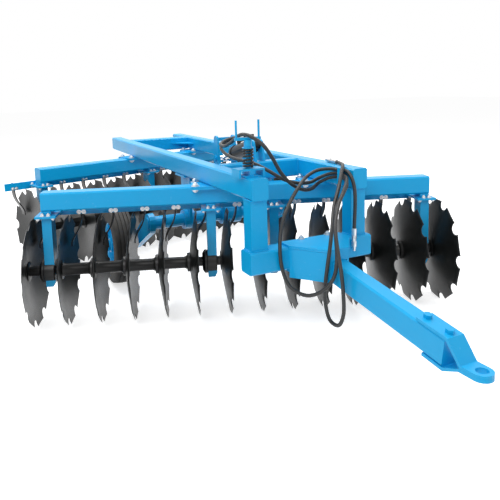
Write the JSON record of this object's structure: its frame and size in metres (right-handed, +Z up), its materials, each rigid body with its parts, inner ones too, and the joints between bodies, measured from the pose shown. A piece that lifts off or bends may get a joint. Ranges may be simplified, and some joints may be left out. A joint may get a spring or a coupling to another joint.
{
  "type": "trailed offset disc harrow",
  "caption": "Trailed offset disc harrow: angled rows of notched discs under a frame of square beams, with a drawbar, transport wheels and a lift cylinder.",
  "frame": {"origin": "ground level under the middle of the machine's outline, seen from above, without its hoses", "axes": "+Z up, -Y forwards along the drawbar, +Y to the rear, +X to the machine's left"},
  "size_m": [2.7216, 4.269, 1.2289],
  "materials": {
    "blue_paint": "gloss enamel",
    "disc_steel": "semi-gloss black",
    "black_steel": "semi-gloss black",
    "rod_chrome": "polished",
    "zinc": "bright zinc plate",
    "tyre_rubber": "matt",
    "hose_rubber": "satin"
  },
  "bodies": {
    "frame": {"drawbar": "blue_paint", "drawbar_head": "blue_paint", "front_clamp_left": "blue_paint", "front_clamp_right": "blue_paint", "front_gang_beam": "blue_paint", "front_hanger_1": "blue_paint", "front_hanger_2": "blue_paint", "front_hanger_3": "blue_paint", "front_hanger_4": "blue_paint", "front_post_left": "blue_paint", "front_post_right": "blue_paint", "front_scraper_bar": "blue_paint", "hitch_cross_beam": "blue_paint", "hitch_lower_strap": "blue_paint", "hitch_tongue": "blue_paint", "hose_first": "hose_rubber", "hose_first_coupler": "zinc", "hose_guide": "blue_paint", "hose_second": "hose_rubber", "hose_second_coupler": "zinc", "left_beam_hook": "blue_paint", "main_beam_left": "blue_paint", "main_beam_right": "blue_paint", "middle_cross_member": "blue_paint", "rear_clamp_left": "blue_paint", "rear_clamp_right": "blue_paint", "rear_cross_member": "blue_paint", "rear_gang_beam": "blue_paint", "rear_hanger_1": "blue_paint", "rear_hanger_2": "blue_paint", "rear_hanger_3": "blue_paint", "rear_hanger_4": "blue_paint", "rear_scraper_bar": "blue_paint", "rockshaft_bracket_left": "blue_paint", "rockshaft_bracket_right": "blue_paint", "spring": "black_steel", "spring_seat": "blue_paint"},
    "front_right_gang": {"front_right_disc_gang": "disc_steel"},
    "front_left_gang": {"front_left_disc_gang": "disc_steel"},
    "rear_right_gang": {"rear_right_disc_gang": "disc_steel"},
    "rear_left_gang": {"rear_left_disc_gang": "disc_steel"},
    "lift": {"rockshaft": "blue_paint", "lift_arm_right": "blue_paint", "lift_arm_left": "blue_paint", "lift_lever": "blue_paint"},
    "right_wheel": {"wheel_right_tyre": "tyre_rubber", "wheel_right_rim": "blue_paint"},
    "left_wheel": {"wheel_left_tyre": "tyre_rubber", "wheel_left_rim": "blue_paint"},
    "cylinder": {"lift_cylinder": "black_steel"},
    "rod": {"lift_cylinder_rod": "rod_chrome"}
  },
  "joints": [
    {"name": "front_right_gang_spin", "type": "hinge", "parent": "frame", "child": "front_right_gang", "pos_m": [-0.69366, -0.16031, 0.3235], "axis": [0.9409, -0.3387, 0], "continuous": true},
    {"name": "front_left_gang_spin", "type": "hinge", "parent": "frame", "child": "front_left_gang", "pos_m": [0.59064, -0.62269, 0.3235], "axis": [0.9409, -0.3387, 0], "continuous": true},
    {"name": "rear_right_gang_spin", "type": "hinge", "parent": "frame", "child": "rear_right_gang", "pos_m": [-0.61382, 1.28841, 0.3235], "axis": [0.9646, 0.2639, 0], "continuous": true},
    {"name": "rear_left_gang_spin", "type": "hinge", "parent": "frame", "child": "rear_left_gang", "pos_m": [0.7028, 1.64859, 0.3235], "axis": [0.9646, 0.2639, 0], "continuous": true},
    {"name": "wheel_lift", "type": "hinge", "parent": "frame", "child": "lift", "pos_m": [0.08249, 0.1385, 0.5], "axis": [-1, 0, 0], "range_deg": [-20, 20]},
    {"name": "right_wheel_spin", "type": "hinge", "parent": "lift", "child": "right_wheel", "pos_m": [-0.63951, 0.5385, 0.28], "axis": [1, 0, 0], "continuous": true},
    {"name": "left_wheel_spin", "type": "hinge", "parent": "lift", "child": "left_wheel", "pos_m": [0.64849, 0.5385, 0.28], "axis": [1, 0, 0], "continuous": true},
    {"name": "cylinder_tilt", "type": "hinge", "parent": "frame", "child": "cylinder", "pos_m": [0.08249, -0.3165, 1.035], "axis": [-1, 0, 0], "range_deg": [-2.4, 2.4]},
    {"name": "rod_slide", "type": "slide", "parent": "cylinder", "child": "rod", "axis": [0, 0.9657, -0.2595], "range_m": [-0.1352, 0.1352]}
  ],
  "couplings": [
    {"joint": "cylinder_tilt", "follows": "wheel_lift", "ratio": -0.12},
    {"joint": "rod_slide", "follows": "wheel_lift", "m_per_rad": 0.387}
  ]
}
